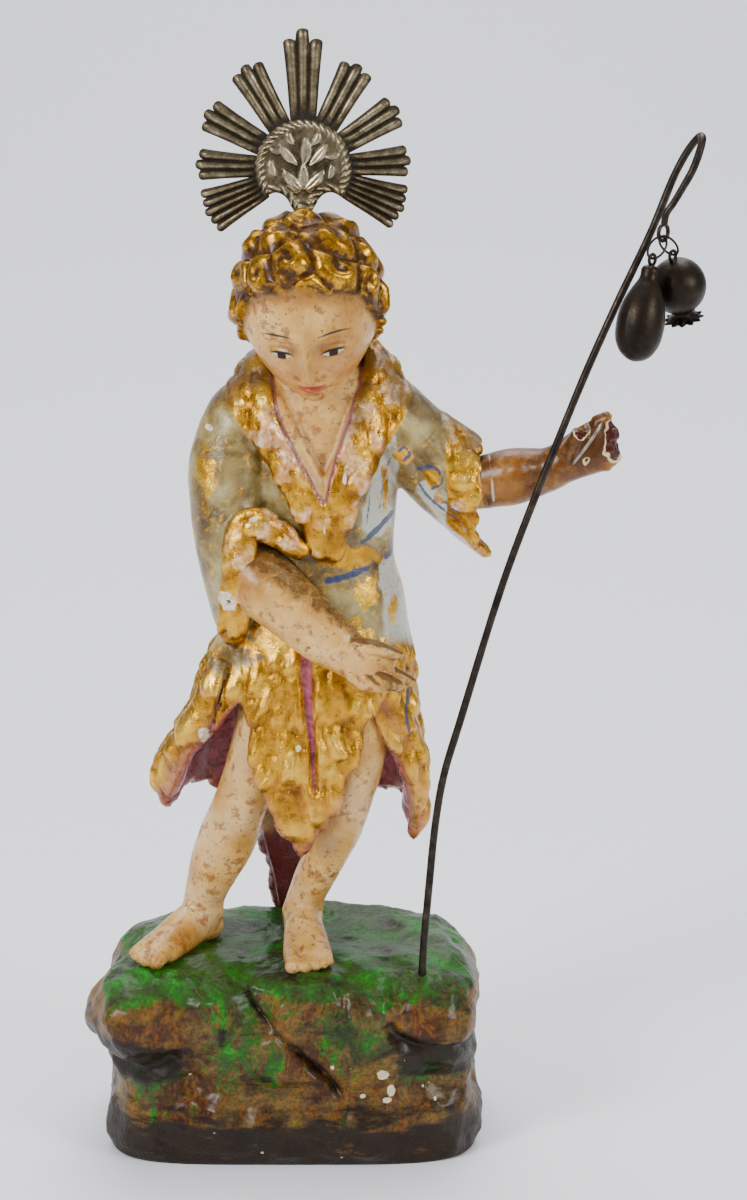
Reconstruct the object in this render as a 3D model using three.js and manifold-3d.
// A carved and painted wooden figure of a standing child saint in a fleece-edged tunic, on a rocky ground.
// A pressed silver halo is pinned in the head, and a bent wire crook stands in the rock with a gourd and a
// pomegranate hanging from it. Millimetres, +Z up, +X to the figure's left hand, the figure faces -Y.
// The origin is the middle of the flat underside.
import * as THREE from "three";
import { mergeVertices } from "three/addons/utils/BufferGeometryUtils.js";
import Module from "manifold-3d";

const wasm = await Module();
wasm.setup();

// Driving dimensions
const rockHalfLength = 57; // along X, at the foot of the rock
const rockHalfDepth = 35.5; // along Y
const rockMiddleX = 1;
const rockMiddleY = -2;
const skirtTop = 147; // where the tunic's hollow starts
const skirtWall = 4.2; // thickness of the carved cloth at its edge
const headMiddle = [7.3, -4.5, 256];
const headHalf = [20.5, 21.4, 27.2]; // half width, half depth and half height of the skull
const headTilt = [20, -4, -4]; // bowed forward, leaning and turned, in degrees
const hairDepth = 3;
const haloMiddle = [5.2, 6, 296];
const haloPlate = 1.1; // thickness of the pressed sheet, its relief apart
const discRadius = 14.2;
const wireRadius = 1.15;
const clearance = 0.3; // between pieces that touch
const stemHalfWidth = 2.4;
const ringRadius = 3.6;
const ringWire = 0.42;
const eyeRadius = 2.3;
const eyeWire = 0.6;
const gourdLean = -16; // degrees from upright
const fruitLean = 18;

// Finishes
const paint = {
  rock: { color: 0x4b4a22, roughness: 0.55 },
  flesh: { color: 0xcfa679, roughness: 0.4 },
  oldFlesh: { color: 0xa8683a, roughness: 0.4 },
  silver: { color: 0x8d8570, roughness: 0.38, metalness: 0.9 },
  wire: { color: 0x3d3833, roughness: 0.42, metalness: 0.85 },
};

const vec = (x, y, z) => new THREE.Vector3(x, y, z);
const radians = THREE.MathUtils.degToRad;
const mix = THREE.MathUtils.lerp;
// Rises from 0 at the first value to 1 at the second, which may be the smaller one.
const smooth = (from, to, x) => THREE.MathUtils.smoothstep((x - from) / (to - from), 0, 1);
const bump = (distance, width) => Math.exp(-((distance / width) ** 2));

// Reads rows of numbers at any place between them. The first number of a row is its place, and the
// slopes run smoothly from row to row.
function readRows(rows, place) {
  let k = 0;
  while (k < rows.length - 2 && place * Math.sign(rows[1][0] - rows[0][0]) >
    rows[k + 1][0] * Math.sign(rows[1][0] - rows[0][0])) k++;
  const [a, b] = [rows[k], rows[k + 1]];
  const before = rows[k - 1] ?? a;
  const after = rows[k + 2] ?? b;
  const span = b[0] - a[0];
  const t = THREE.MathUtils.clamp((place - a[0]) / span, 0, 1);
  return a.slice(1).map((_, i) => {
    const n = i + 1;
    const slopeA = before === a ? (b[n] - a[n]) / span : (b[n] - before[n]) / (b[0] - before[0]);
    const slopeB = after === b ? (b[n] - a[n]) / span : (after[n] - a[n]) / (after[0] - a[0]);
    return (2 * t ** 3 - 3 * t ** 2 + 1) * a[n] + (t ** 3 - 2 * t ** 2 + t) * span * slopeA +
      (3 * t ** 2 - 2 * t ** 3) * b[n] + (t ** 3 - t ** 2) * span * slopeB;
  });
}

// A closed skin through rings of points. Each end closes on a point: its own middle, or one given.
function skin(rings, firstPole, lastPole) {
  const middle = (ring) => ring.reduce((sum, p) => sum.add(p), vec(0, 0, 0)).divideScalar(ring.length);
  const around = rings[0].length;
  const points = [firstPole ?? middle(rings[0]), ...rings.flat(), lastPole ?? middle(rings.at(-1))];
  const faces = [];
  const at = (ring, k) => 1 + ring * around + (k % around);
  for (let k = 0; k < around; k++) {
    faces.push([0, at(0, k + 1), at(0, k)]);
    faces.push([points.length - 1, at(rings.length - 1, k), at(rings.length - 1, k + 1)]);
    for (let r = 0; r < rings.length - 1; r++) {
      faces.push([at(r, k), at(r, k + 1), at(r + 1, k)]);
      faces.push([at(r, k + 1), at(r + 1, k + 1), at(r + 1, k)]);
    }
  }
  const geometry = new THREE.BufferGeometry();
  const numbers = points.flatMap((p) => p.toArray());
  geometry.setAttribute("position", new THREE.Float32BufferAttribute(numbers, 3));
  geometry.setIndex(faces.flat());
  return geometry;
}

// A geometry as a solid that can be joined and cut, with its faces pointing out.
function solid(geometry) {
  const bare = new THREE.BufferGeometry();
  bare.setAttribute("position", geometry.getAttribute("position"));
  bare.setIndex(geometry.getIndex());
  const merged = mergeVertices(bare, 1e-4);
  const triVerts = new Uint32Array(merged.index.array);
  const vertProperties = new Float32Array(merged.attributes.position.array);
  const made = new wasm.Manifold(new wasm.Mesh({ numProp: 3, vertProperties, triVerts }));
  if (made.volume() > 0) return made;
  triVerts.reverse();
  return new wasm.Manifold(new wasm.Mesh({ numProp: 3, vertProperties, triVerts }));
}

function joined(...geometries) {
  return geometries.map(solid).reduce((whole, piece) => whole.add(piece));
}

// A finished solid as a named mesh.
function meshOf(name, made, finish) {
  const { numProp, numVert, vertProperties, triVerts } = made.getMesh();
  const positions = new Float32Array(numVert * 3);
  for (let v = 0; v < numVert; v++) {
    positions.set(vertProperties.subarray(v * numProp, v * numProp + 3), v * 3);
  }
  const geometry = new THREE.BufferGeometry();
  geometry.setAttribute("position", new THREE.BufferAttribute(positions, 3));
  geometry.setIndex(new THREE.BufferAttribute(triVerts, 1));
  geometry.computeVertexNormals();
  const mesh = new THREE.Mesh(geometry, new THREE.MeshStandardMaterial(finish));
  mesh.name = name;
  return mesh;
}

// An oval ring of points about a middle, from its half size across and its half depth.
function oval(middle, across, deep, around) {
  return Array.from({ length: around }, (_, k) => {
    const angle = (2 * Math.PI * k) / around;
    return middle.clone().addScaledVector(across, Math.cos(angle)).addScaledVector(deep, Math.sin(angle));
  });
}

// A rounded limb through stations [x, y, z, half width, half depth], with domed ends. The depth of its
// sections follows the facing direction, given once or as three more numbers in each station.
function limb(stations, { around = 12, steps = 10, facing = [0, 1, 0], dome = 0.6 } = {}) {
  const rows = stations.map((s, k) => [k, ...s]);
  const last = stations.length - 1;
  const sectionAt = (place) => {
    const row = readRows(rows, place);
    const ahead = readRows(rows, Math.min(place + 0.02, last));
    const behind = readRows(rows, Math.max(place - 0.02, 0));
    const along = vec(ahead[0] - behind[0], ahead[1] - behind[1], ahead[2] - behind[2]).normalize();
    const hint = row.length > 5 ? vec(row[5], row[6], row[7]) : vec(...facing);
    const across = along.clone().cross(hint).normalize();
    const deep = across.clone().cross(along).normalize();
    return { middle: vec(row[0], row[1], row[2]), along, across, deep, wide: row[3], thick: row[4] };
  };
  const ring = (s, size, shift) => oval(s.middle.clone().addScaledVector(s.along, shift),
    s.across.clone().multiplyScalar(s.wide * size), s.deep.clone().multiplyScalar(s.thick * size), around);
  const start = sectionAt(0);
  const end = sectionAt(last);
  const rings = [ring(start, 0.7, -0.7 * dome * start.thick)];
  for (let k = 0; k <= steps; k++) rings.push(ring(sectionAt((k / steps) * last), 1, 0));
  rings.push(ring(end, 0.7, 0.7 * dome * end.thick));
  return skin(rings, start.middle.clone().addScaledVector(start.along, -dome * start.thick),
    end.middle.clone().addScaledVector(end.along, dome * end.thick));
}

// A wire of even thickness along a curve through points, with a few sections for each span between them.
function wireAlong(points, radius, { around = 6, perSpan = 2 } = {}) {
  const curve = new THREE.CatmullRomCurve3(points.map((p) => vec(...p)), false, "centripetal");
  const steps = (points.length - 1) * perSpan;
  let side = vec(0.31, 0.95, 0.05); // any way that the wire never points in
  const rings = [];
  for (let k = 0; k <= steps; k++) {
    const along = curve.getTangent(k / steps);
    side = side.clone().addScaledVector(along, -side.dot(along)).normalize();
    rings.push(oval(curve.getPoint(k / steps), side.clone().multiplyScalar(radius),
      side.clone().cross(along).multiplyScalar(radius), around));
  }
  return skin(rings);
}

// The rocky ground: a rounded oblong whose ledge stands out over a hollow, with boulders pushed out of
// it and a cleft run down its front.
const rockProfile = [ // height, and size of the plan
  [0, 0.985], [2.5, 0.99], [13, 0.985], [22, 0.945], [31, 0.96], [40, 0.985], [48, 0.975], [54, 0.935],
  [57.4, 0.87], [59, 0.76], [59, 0.42],
];
const boulders = [ // middle, reach and height
  [-57, -18, 43, 13, 8], [-45, -34, 43, 12, 6.5], [-55, -20, 21, 9, -3], [47, -33, 43, 11, 4.5],
  [44, -36, 27, 8, -3.5], [2, -38, 42, 14, 4], [22, -38, 48, 11, 3], [-28, -38, 28, 9, -3],
  [-8, -38, 16, 14, 2], [-54, 16, 42, 15, 3], [8, 34, 44, 18, 4], [-30, 33, 24, 12, -3],
  [34, 32, 22, 12, -3], [-52, 2, 58, 14, -5], [56, 0, 27, 12, -2],
];
const cleftTop = [-15, -38, 56];
const cleftFoot = [13, -42, 24];
const cleftWidth = 3;
const cleftDepth = 4.5;

// How far a point of the rock is pushed out, from the boulders and the cleft.
function rockPush(p) {
  const raised = boulders.reduce((sum, [x, y, z, reach, height]) =>
    sum + height * bump(p.distanceTo(vec(x, y, z)), reach), 0);
  const line = new THREE.Line3(vec(...cleftTop), vec(...cleftFoot));
  const nearest = line.closestPointToPoint(p, true, vec(0, 0, 0));
  return raised - cleftDepth * bump(p.distanceTo(nearest), cleftWidth);
}

// Height of the ground's gentle lumps.
const groundLumps = (x, y) =>
  0.9 * Math.sin(x * 0.13 + 1) * Math.cos(y * 0.17) + 0.5 * Math.sin(x * 0.31 + y * 0.2);

function rockGeometry() {
  const around = 34;
  const corner = 0.43; // squareness of the plan: 1 is an oval and 0 is an oblong
  const rings = rockProfile.map(([z, size]) => Array.from({ length: around }, (_, k) => {
    const angle = (2 * Math.PI * k) / around;
    const cx = Math.sign(Math.cos(angle)) * Math.abs(Math.cos(angle)) ** corner;
    const cy = Math.sign(Math.sin(angle)) * Math.abs(Math.sin(angle)) ** corner;
    const p = vec(rockMiddleX + rockHalfLength * size * cx, rockMiddleY + rockHalfDepth * size * cy, z);
    const side = smooth(0, 6, z) * (1 - smooth(56, 59, z));
    const out = vec(cx / rockHalfLength, cy / rockHalfDepth, 0).normalize();
    p.addScaledVector(out, rockPush(p) * side);
    p.z += groundLumps(p.x, p.y) * smooth(50, 58, z);
    return p;
  }));
  return skin(rings);
}

// The tunic's sections: height, middle x and y, half width, and half depth in front and behind.
const tunicRows = [
  [241, 9, 2, 8, 8, 8], [236, 9, 1.5, 20, 11, 12], [228, 10, 1, 26, 13, 14],
  [215, 10, 0.5, 24, 15.5, 14.5],
  [203, 10.5, 0, 22.5, 17, 14], [184, 12, 0, 19.6, 16.5, 13], [170, 10.5, 0, 24, 18.5, 15.5],
  [150, 6.5, 0, 30.6, 21, 19], [132, 5, 0, 34, 22, 21], [118, 2, 0, 39.5, 22.5, 23],
  [100, 1, 0, 38.5, 22.5, 25.5],
  [76, 0, 0, 33, 22, 27.5], [50, -1, 0, 30, 22, 29],
];
// The hem in points and slits: angle round the body from the front towards its left hand, and height.
const hem = [
  [5, 91], [38, 138], [78, 93], [118, 104], [163, 101], [184, 52], [203, 100], [240, 107], [272, 102],
  [323, 142], [365, 91],
];
const columnsPerPoint = 3;

const hemHeight = (angle) => {
  const k = hem.findIndex(([a], i) => i < hem.length - 1 && angle <= hem[i + 1][0]);
  const [a, b] = [hem[k], hem[k + 1]];
  return mix(a[1], b[1], (angle - a[0]) / (b[0] - a[0]));
};

// A point of the tunic's skin at an angle and height, set in by a wall.
function tunicPoint(angle, z, wall = 0) {
  const [middleX, middleY, wide, front, behind] = readRows(tunicRows, z);
  const [sideways, forward] = [Math.sin(radians(angle)), -Math.cos(radians(angle))];
  const fold = 1 + 0.045 * Math.sin(radians(angle) * 7 + z * 0.05) * smooth(175, 120, z);
  const deep = (forward < 0 ? front : behind) - wall;
  return vec(middleX + (wide - wall) * fold * sideways, middleY + deep * fold * forward, z);
}

function tunicGeometry() {
  const angles = hem.slice(0, -1).flatMap(([angle], k) => Array.from({ length: columnsPerPoint },
    (_, step) => mix(angle, hem[k + 1][0], step / columnsPerPoint)));
  const bodyHeights = [238, 233, 225, 213, 200, 185, 175, 165, 155];
  const dropTo = (share, wall) => angles.map((angle) =>
    tunicPoint(angle, mix(skirtTop, hemHeight(angle), share), wall));
  const rings = bodyHeights.map((z) => angles.map((angle) => tunicPoint(angle, z)));
  rings.push(...[0, 0.3, 0.62, 0.94].map((share) => dropTo(share, 0)));
  rings.push(dropTo(1, 0.35 * skirtWall), dropTo(0.97, skirtWall));
  rings.push(dropTo(0.4, skirtWall * 1.25));
  rings.push(angles.map((angle) => tunicPoint(angle, skirtTop + 1, skirtWall * 2.5)));
  return skin(rings);
}

// The fleece collar, from the waist up each side of the neck to the nape, as two flat rolls.
function collarGeometries() {
  const rightSide = [ // x, y, z, half width, half thickness, and the way it faces
    [12, -17, 186, 3.5, 2.2, 0, -1, 0], [6.5, -18, 203, 6, 2.8, -0.1, -1, 0],
    [-0.5, -15.5, 217, 6.8, 3, -0.3, -1, 0.2],
    [-8, -9, 229.5, 7, 3.2, -0.5, -0.7, 0.5], [-10, 1, 237, 6.5, 3.4, -0.6, 0, 0.8],
    [-4, 11, 240, 5.5, 3.2, -0.4, 0.8, 0.4],
    [9, 14, 240, 5, 3, 0, 1, 0.3],
  ];
  const leftSide = [
    [13, -17, 186, 3.5, 2.2, 0, -1, 0], [16, -18, 203, 6, 2.8, 0.1, -1, 0],
    [21.5, -15.5, 217, 6.8, 3, 0.3, -1, 0.2],
    [27, -8, 229.5, 7, 3.2, 0.5, -0.7, 0.5], [28, 1, 238, 6.5, 3.4, 0.6, 0, 0.8],
    [21, 11, 241, 5.5, 3.2, 0.4, 0.8, 0.4],
    [9, 14, 240, 5, 3, 0, 1, 0.3],
  ];
  return [rightSide, leftSide].map((side) => limb(side, { around: 6, steps: 10 }));
}

// The right sleeve hangs from the shoulder past the elbow, with a fleece edge at its mouth.
function rightSleeveGeometries() {
  const sleeve = limb([
    [-6, 1, 230, 9, 10], [-13, 0, 222, 11.5, 12.5], [-16.5, -2, 207, 13, 13],
    [-16.5, -6, 190, 11.2, 12],
    [-16, -9, 176, 9, 10.5], [-16.5, -11, 164, 5.5, 7.5], [-16.5, -12, 159, 3, 4.5],
  ], { around: 10, steps: 7 });
  const edge = limb([
    [-3, -7, 196, 3.5, 2.5, 0.3, -1, 0.5], [-8, -16, 191, 4.6, 3, 0, -1, 0],
    [-12, -19.5, 179, 4.6, 3, 0, -1, 0],
    [-14.5, -17, 167, 4.4, 3, 0, -1, 0], [-16, -13, 160, 3.5, 3, 0, -1, 0],
  ], { around: 6, steps: 6 });
  return [sleeve, edge];
}

// The left sleeve opens wide at the elbow, and its lower edge hangs to a point. Its sections stand
// upright: x, middle y and z, half height and half depth.
function leftSleeveGeometry() {
  const sections = [
    [20, 1, 222, 9, 9], [26, 1, 222.5, 13, 12], [33, 0, 219, 16.2, 13], [41, -1.5, 212.5, 17.3, 12.6],
    [49, -3.5, 205.5, 18, 11.8], [54.5, -5, 200.8, 18.3, 11], [56.4, -5.6, 199.6, 16.6, 9.8],
    [55.6, -5.6, 200, 14, 7.8], [51, -5, 204, 10, 7],
  ];
  const around = 12;
  const rings = sections.map(([x, y, z, high, deep]) => Array.from({ length: around }, (_, k) => {
    const angle = (2 * Math.PI * k) / around;
    const drop = Math.max(0, -Math.sin(angle)); // the lower part narrows to a hanging edge
    const thin = 1 - 0.45 * drop * smooth(33, 55, x);
    const hang = (3.5 * drop ** 4 - 2.5 * drop * Math.abs(Math.cos(angle))) * smooth(45, 57, x);
    return vec(x + hang, y + deep * Math.cos(angle) * thin, z + high * Math.sin(angle));
  }));
  return skin(rings);
}

function legGeometries() {
  const rightLeg = limb([
    [0, -2, 152, 12, 12], [-5, -6, 135, 10, 10.5], [-10, -8.5, 119, 8.6, 9.3], [-14.2, -8, 107, 8.2, 9],
    [-18.8, -5, 94, 8.8, 8.6], [-22.6, -2, 84, 8, 7.8], [-26, 0.5, 74, 6.5, 6.6], [-27.2, 2, 66, 6.2, 6.8],
  ], { around: 9, steps: 8 });
  const leftLeg = limb([
    [14, -2, 152, 12, 12], [20, -6, 137, 9.5, 10], [22, -8, 126, 8, 9], [19, -8, 110, 7.2, 8.5],
    [15.5, -5.5, 98, 6.9, 8.2], [10, -1.5, 85, 6.6, 7.6], [5, 1.5, 73, 5.5, 6.4],
    [3.3, 3, 66, 5.5, 6.6],
  ], { around: 9, steps: 8 });
  const foot = (heel, toe) => {
    const along = (share, height, wide, thick) => [mix(heel[0], toe[0], share), mix(heel[1], toe[1], share),
      height, wide, thick, 0, 0, 1];
    return limb([
      along(0.08, 62.5, 5.6, 5.6), along(0.3, 64.5, 6, 6.6), along(0.6, 62.5, 7, 5.2),
      along(0.85, 61, 7.8, 3.8),
      along(0.97, 60.6, 7.2, 3.2),
    ], { around: 8, steps: 4 });
  };
  return [rightLeg, leftLeg, foot([-24, 7.5], [-44, -23.5]), foot([3, 8.5], [6.6, -29.5])];
}

// The right forearm comes out of its sleeve and crosses the belly, and its forefinger points.
function rightForearmGeometries() {
  const arm = limb([
    [-14, -10, 181, 9.5, 9], [-7, -16, 176.6, 10.2, 9], [2, -21, 169.6, 9.6, 8.2],
    [12, -24, 161.6, 8.8, 7.4],
    [20, -25.5, 155.8, 8, 6.2], [26, -26, 152.6, 7.4, 4.8], [30, -25.5, 151, 5.8, 4],
  ], { around: 9, steps: 7 });
  const finger = (points, radius) => limb(points.map((p) => [...p, radius, radius]),
    { around: 6, steps: 2 });
  return [
    arm, finger([[21.5, -27.5, 162], [27, -28.2, 161], [31.4, -27.4, 158.6]], 2.4),
    finger([[29, -26, 151.5], [33.5, -25.8, 149.6], [36.6, -25, 147.6]], 1.8),
    finger([[27, -27, 149.5], [31, -27.5, 148.6], [32.5, -25, 148]], 2.1),
  ];
}

// The head in its own frame, facing -Y: an egg with brows, cheeks and chin, and a cap of locks.
const hairlineRows = [ // angle from the middle of the face, and the height where the hair starts
  [0, 13], [25, 13.5], [50, 10], [66, 2], [84, -4], [110, -9], [140, -14], [180, -16],
];

function headPoint(turn, rise) {
  const [halfWide, halfDeep, halfHigh] = headHalf;
  const [sideways, forward] = [Math.sin(turn), -Math.cos(turn)];
  const high = -Math.cos(rise);
  const out = Math.sin(rise) ** mix(1, 0.84, smooth(-0.3, 0.5, high)); // the crown is fuller than the chin
  const jaw = 1 - 0.24 * smooth(0.1, -0.9, high);
  const p = vec(halfWide * out * jaw * sideways, halfDeep * out * forward * (forward > 0 ? 1 : 1.04),
    halfHigh * high);
  const side = Math.abs(p.x);
  p.y -= smooth(0.2, 0.9, -forward) * out * (2 * bump(side, 4.5) * bump(p.z + 20, 4) +
    1.2 * bump(side - 9, 5) * bump(p.z + 9.5, 5.5) - 1.6 * bump(side - 7, 4) * bump(p.z + 1.5, 3));
  const angle = THREE.MathUtils.radToDeg(Math.abs(Math.atan2(p.x, -p.y)));
  const [hairline] = readRows(hairlineRows, angle);
  const hair = smooth(hairline - 1.5, hairline + 4, p.z);
  const waves = Math.sin(turn * 7 + Math.sin(p.z * 0.4)) * Math.sin(p.z * 0.5 + 1.5 * Math.cos(turn * 3));
  const locks = 1 + 0.35 * waves * smooth(0.25, 0.6, out);
  const depth = hairDepth * mix(0.5, 1, smooth(-10, 6, p.z));
  return p.addScaledVector(p.clone().normalize(), hair * depth * locks);
}

// The features of the face, in the head's frame: a small nose, the lids and the lips.
const faceFeatures = [
  [[0, -20.6, 1.5, 1.3, 1.4], [0, -22.6, -3.6, 1.5, 1.8], [0, -23, -6.4, 2.4, 1.9]],
  [[-11, -16.8, -1.6, 1.5, 1.2], [-7.4, -19.6, -1.4, 2.5, 1.6], [-4, -20.4, -1.8, 1.3, 1.2]],
  [[11, -16.8, -1.6, 1.5, 1.2], [7.4, -19.6, -1.4, 2.5, 1.6], [4, -20.4, -1.8, 1.3, 1.2]],
  [[-3.6, -18.8, -11.6, 0.8, 1.2], [0, -20.4, -11.6, 1.6, 1.3], [3.6, -18.8, -11.6, 0.8, 1.2]],
];

const headFrame = new THREE.Matrix4()
  .makeRotationFromEuler(new THREE.Euler(...headTilt.map(radians), "ZYX"))
  .setPosition(...headMiddle);

function headGeometries() {
  const around = 28;
  const rows = 14;
  const rings = Array.from({ length: rows - 1 }, (_, row) => Array.from({ length: around }, (_, k) =>
    headPoint((2 * Math.PI * k) / around, (Math.PI * (row + 1)) / rows)));
  const features = faceFeatures.map((stations) => limb(stations, { around: 6, steps: 2 }));
  const skull = skin(rings, headPoint(0, 0), headPoint(0, Math.PI));
  return [skull, ...features].map((g) => g.applyMatrix4(headFrame));
}

const neckGeometry = () => limb([
  [10, -1, 222, 12, 11], [9.5, -2, 231, 9.4, 9.4], [9, -3, 240, 8.8, 9], [8.5, -3, 248, 9, 9.5],
], { around: 8, steps: 2 });

// The halo's stem goes down into the crown of the head.
const stemPoints = [[-0.3, 0, -19], [-0.6, 0, -13]];

// One fluted ray: its sections widen outwards, rounded in front and flat behind.
function rayGeometry({ angle, inner, outer, rootHalf, tipHalf, flutes }) {
  const perFlute = 2;
  const crown = 0.9; // how far a flute stands out
  const columns = flutes * perFlute;
  const across = Array.from({ length: columns + 1 }, (_, k) => -1 + (2 * k) / columns);
  const shares = [0, 0.2, 1];
  const rings = shares.map((share) => {
    const half = mix(rootHalf, tipHalf, share);
    const round = (s) => Math.abs(Math.sin(((s + 1) / 2) * flutes * Math.PI)); // 1 on each flute's crest
    const arch = (s) => crown * round(s) * smooth(0, 0.2, share);
    const reach = (s) => mix(inner, outer, share) - (share === 1 ? 1.6 * s * s + 0.9 * (1 - round(s)) : 0);
    const front = across.map((s) => vec(half * s, -haloPlate / 2 - arch(s), reach(s)));
    return [...front, vec(half, haloPlate / 2, reach(1)), vec(-half, haloPlate / 2, reach(1))];
  });
  return skin(rings).rotateY(radians(angle));
}

// Angle from upright, reach from the middle, and half widths of each ray.
function haloRays() {
  const inner = 13;
  const rays = [{ angle: 0, inner, outer: 40.4, rootHalf: 3.9, tipHalf: 5.8, flutes: 3 }];
  const reaches = [34.2, 32.8, 31.4];
  const sides = [[-30, -60.5, -88, -115], [28.5, 58, 86, 112.5]];
  for (const [...angles] of sides) {
    const wide = { angle: angles.pop(), inner, outer: 31.6, rootHalf: 2.9, tipHalf: 6.6, flutes: 5 };
    const narrow = { inner, rootHalf: 3, tipHalf: 4.9, flutes: 3 };
    rays.push(wide, ...angles.map((angle, k) => ({ ...narrow, angle, outer: reaches[k] })));
  }
  return rays.map(rayGeometry);
}

function haloSolid() {
  const face = new THREE.Shape();
  const archFoot = radians(-38); // where the round disc ends, below level
  face.absarc(0, 0, discRadius, archFoot, Math.PI - archFoot, false);
  face.quadraticCurveTo(-8, -6.4, -5.4, -9);
  face.lineTo(-stemHalfWidth, -13.5);
  face.lineTo(stemHalfWidth - 0.6, -13.5);
  face.lineTo(5, -9);
  face.quadraticCurveTo(7.6, -6, discRadius * Math.cos(archFoot), discRadius * Math.sin(archFoot));
  const sheet = { depth: haloPlate, bevelEnabled: false, curveSegments: 12 };
  const disc = new THREE.ExtrudeGeometry(face, sheet);
  disc.rotateX(Math.PI / 2).translate(0, haloPlate / 2, 0);
  const rim = Array.from({ length: 15 }, (_, k) => {
    const angle = mix(archFoot, Math.PI - archFoot, k / 14);
    return vec((discRadius - 1.3) * Math.cos(angle), -haloPlate / 2, (discRadius - 1.3) * Math.sin(angle));
  });
  const rope = wireAlong(rim.map((p) => p.toArray()), 0.85, { around: 5, perSpan: 1 });
  const petals = [-75, -25, 25, 75].map((angle) => limb(
    [[0, -0.6, 0.5, 0.8, 0.9], [0, -0.7, 4, 1.9, 1.1],
    [0, -0.6, 7.5, 0.8, 0.7]], { around: 6, steps: 2 })
    .rotateY(radians(angle)).translate(-0.5, 0, -2.5));
  const stem = limb([[...stemPoints[0], 1.4, 0.7], [...stemPoints[1], 1.9, 0.7]], { around: 8, steps: 1 });
  return joined(disc, rope, stem, ...petals, ...haloRays())
    .translate(haloMiddle);
}

// The slot that the halo's stem stands in, a little wider and deeper than the stem.
const stemSlot = () => solid(limb([
  [...stemPoints[0], 1.4 + clearance, 0.9 + clearance],
  [...stemPoints[1], stemHalfWidth + 1.8, 1 + clearance],
  [-0.6, 0, -9, 6.4, 1.5],
], { around: 6, steps: 3 })).translate(haloMiddle);

// The left forearm is a separate piece, butted to the stub in the sleeve. Stations: x, y, z, half
// height and half depth.
const forearmJoint = 59.5; // x of the joint
const leftArmLine = [
  [50, -6.5, 203.8, 7.5, 7], [59.5, -8.5, 205.6, 8.1, 7.6], [67, -10.5, 207.5, 8.5, 7.6],
  [76.4, -13.4, 210.2, 7, 6.8],
  [81.5, -15, 213, 6.4, 6.2], [86.6, -16, 215.8, 7.2, 5.6], [92.6, -16.8, 218.4, 8, 5],
  [96, -17, 220, 6.6, 4.2],
];

// The hand is open, with its palm to the front and its fingers broken away.
function leftArmSolid() {
  const arm = solid(limb(leftArmLine, { around: 10, steps: 10, dome: 0.2 }));
  const thumbLine = [[82, -18, 215.5, 3.4, 3.2], [84.6, -20.8, 220.6, 3, 3], [86.2, -22, 223.4, 2.8, 2.8]];
  const thumb = solid(limb(thumbLine, { around: 7, steps: 2, dome: 0.2 }));
  const fingers = solid(limb([[92.6, -17, 221.8, 4.2, 3.6], [95.8, -17.4, 224, 3.8, 3.2]],
    { around: 7, steps: 1, dome: 0.3 }));
  const whole = arm.add(thumb).add(fingers);
  return whole.trimByPlane([1, 0, 0.1], forearmJoint + clearance + 20.5).subtract(palmWire(clearance));
}

// The wire loop in the palm, which once held the crook.
const palmWire = (extra) => solid(wireAlong([
  [84.4, -17, 213.4], [83.6, -21.4, 214], [85.4, -23.6, 217], [88.7, -24.2, 221.8], [91, -22.8, 225],
  [92, -18.5, 225],
], 0.5 + extra, { perSpan: 1 }));

// The figure is one carving, cut to sit on the rock and to take the halo's stem.
function figureSolid(rock) {
  const stub = limb(leftArmLine.slice(0, 3), { around: 12, steps: 4 });
  const armEnd = solid(stub).trimByPlane([-1, 0, -0.1], -(forearmJoint + 20.5));
  return joined(tunicGeometry(), ...collarGeometries(), ...rightSleeveGeometries(), leftSleeveGeometry(),
    neckGeometry(), ...legGeometries(), ...rightForearmGeometries(), ...headGeometries())
    .add(armEnd)
    .subtract(rock.translate([0, 0, clearance]))
    .subtract(stemSlot());
}

// The crook: a wire that stands in the rock, bends, leans past the wrist and curls over at the top.
const crookFoot = [39.8, -28, 46];
const crookPoints = [
  crookFoot, [40.4, -28, 63], [42.3, -28, 88], [44.1, -28, 107], [46.4, -28, 121], [51.2, -27.7, 138],
  [63.6, -26.2, 180], [73.2, -25.4, 206.8], [78.9, -24.6, 221.5], [87, -23.2, 241.8],
  [95.4, -21.8, 261],
  [105.2, -19.4, 282], [111.8, -18.8, 298.5], [115.7, -19.2, 305.6], [118, -21.2, 308.6],
  [118.4, -24, 308.3],
  [117.4, -26.8, 305], [115.5, -28, 300], [113, -28, 295.3], [110.3, -28, 290.6], [108.3, -28, 287.5],
  [107.8, -28, 284.6],
];
const crookEye = [107.6, -28, 282.2]; // middle of the eye at the tip

function crookSolid() {
  const eye = new THREE.TorusGeometry(eyeRadius, eyeWire, 5, 10).rotateX(Math.PI / 2).rotateZ(ringHeading)
    .translate(...crookEye);
  return joined(wireAlong(crookPoints, wireRadius, { perSpan: 1 }), eye);
}

// The ring from which a pendant hangs leans away from the eye; its foot carries the pendant's own eye.
const ringHeading = radians(50); // the way in which the two pendants part, from +X
function hungRing(lean, offset) {
  const aside = vec(Math.cos(ringHeading), Math.sin(ringHeading), 0);
  const drop = eyeRadius - eyeWire - ringWire - 0.25;
  const top = vec(...crookEye).addScaledVector(aside, offset).add(vec(0, 0, -drop));
  const down = vec(0, 0, -1).applyAxisAngle(vec(aside.y, -aside.x, 0), radians(lean));
  const middle = top.clone().addScaledVector(down, ringRadius);
  const foot = top.clone().addScaledVector(down, 2 * ringRadius);
  return { aside, down, middle, foot };
}

function ringSolid({ aside, down, middle }) {
  const sideways = down.clone().cross(aside).normalize();
  const frame = new THREE.Matrix4()
    .makeBasis(sideways, down, sideways.clone().cross(down))
    .setPosition(middle);
  return solid(new THREE.TorusGeometry(ringRadius, ringWire, 5, 10).applyMatrix4(frame));
}

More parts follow.
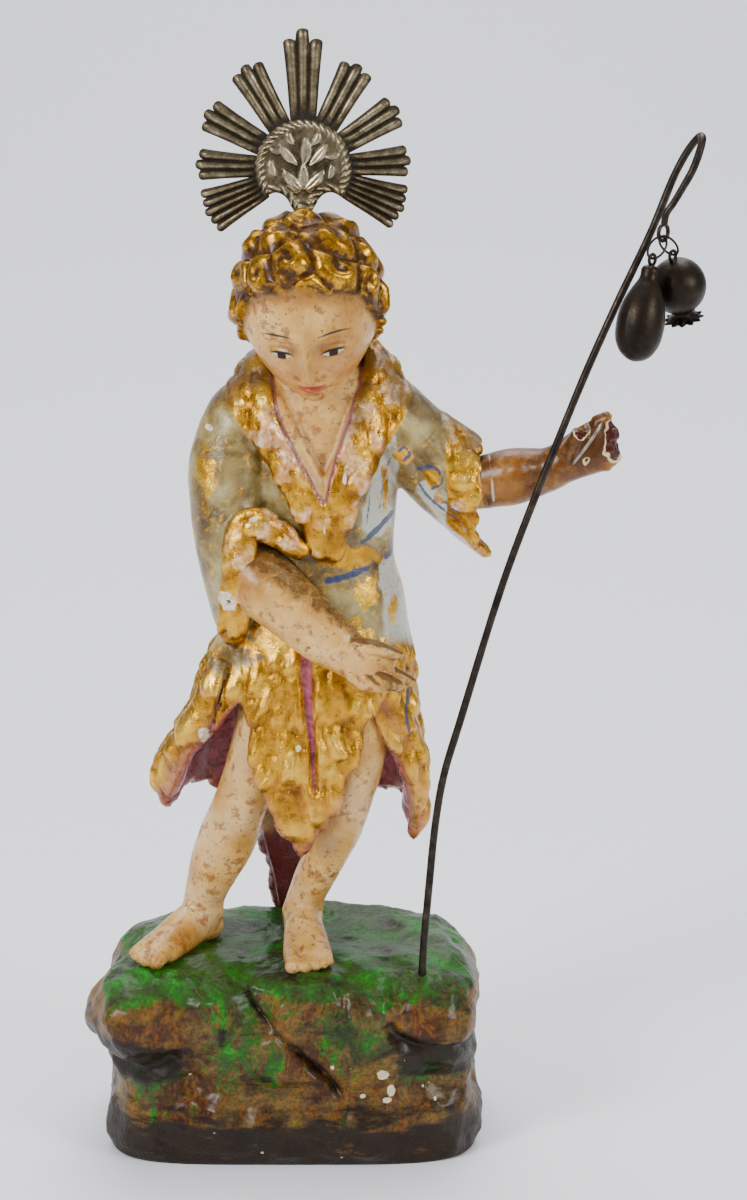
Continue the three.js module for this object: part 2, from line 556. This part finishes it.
// Places a pendant, modelled hanging from its eye at the origin, on its ring.
function hang(geometries, ring, lean) {
  const eyeMiddle = ring.foot.clone().add(vec(0, 0, -0.35));
  const turn = new THREE.Matrix4().makeRotationAxis(vec(ring.aside.y, -ring.aside.x, 0), radians(lean));
  const heading = new THREE.Matrix4().makeRotationZ(ringHeading);
  const frame = turn.multiply(heading).setPosition(eyeMiddle);
  return joined(...geometries.map((g) => g.applyMatrix4(frame)));
}

const pendantEye = () => new THREE.TorusGeometry(1.5, 0.5, 4, 8).rotateX(Math.PI / 2);

// A round profile of [radius, height] pairs turned about Z.
const turned = (profile, around) =>
  new THREE.LatheGeometry(profile.map(([r, z]) => new THREE.Vector2(r, z)), around).rotateX(Math.PI / 2);

const gourdProfile = [
  [0, -29.2], [2.6, -28.6], [4.9, -26.6], [6.5, -23.4], [7, -19.4], [6.8, -15.6], [5.8, -11.8],
  [4.4, -8.6],
  [3, -6.2], [2.7, -4.6], [2.8, -2.8], [1.7, -1.6], [0, -1.3],
];
const gourdSolid = (ring) => hang([pendantEye(), turned(gourdProfile, 12)], ring, gourdLean);

// The pomegranate: a ball with a toothed crown below.
function pomegranateSolid(ring) {
  const radius = 8.2;
  const fruitMiddle = -radius - 1.2;
  const ball = new THREE.SphereGeometry(radius, 14, 8).rotateX(Math.PI / 2).translate(0, 0, fruitMiddle);
  const teeth = 12;
  const crown = new THREE.Shape();
  for (let k = 0; k < teeth * 2; k++) {
    const angle = (Math.PI * k) / teeth;
    const reach = k % 2 ? 4.4 : 6;
    crown[k ? "lineTo" : "moveTo"](reach * Math.cos(angle), reach * Math.sin(angle));
  }
  const plate = new THREE.ExtrudeGeometry(crown, { depth: 1.1, bevelEnabled: false })
    .translate(0, 0, fruitMiddle - radius - 2.2);
  const collar = new THREE.CylinderGeometry(3.2, 3.8, 4, 8).rotateX(Math.PI / 2)
    .translate(0, 0, fruitMiddle - radius - 0.1);
  return hang([pendantEye(), ball, collar, plate], ring, fruitLean);
}

const saint = new THREE.Group();
const uncutRock = solid(rockGeometry());
const holeRadius = wireRadius + clearance;
const holeLine = [[crookFoot[0], crookFoot[1], crookFoot[2] - clearance], crookPoints[1], crookPoints[2]];
const crookHole = solid(limb(holeLine.map((p) => [...p, holeRadius, holeRadius]),
  { around: 10, steps: 3, dome: 0.2 }));
const gourdRing = hungRing(-38, -0.66);
const fruitRing = hungRing(36, 0.66);

saint.add(
  meshOf("rock_base", uncutRock.subtract(crookHole), paint.rock),
  meshOf("figure", figureSolid(uncutRock), paint.flesh),
  meshOf("left_forearm", leftArmSolid(), paint.oldFlesh),
  meshOf("palm_wire", palmWire(0), paint.wire),
  meshOf("halo", haloSolid(), paint.silver),
  meshOf("crook", crookSolid(), paint.wire),
  meshOf("gourd_ring", ringSolid(gourdRing), paint.wire),
  meshOf("fruit_ring", ringSolid(fruitRing), paint.wire),
  meshOf("gourd", gourdSolid(gourdRing), paint.wire),
  meshOf("pomegranate", pomegranateSolid(fruitRing), paint.wire),
);

export default saint;
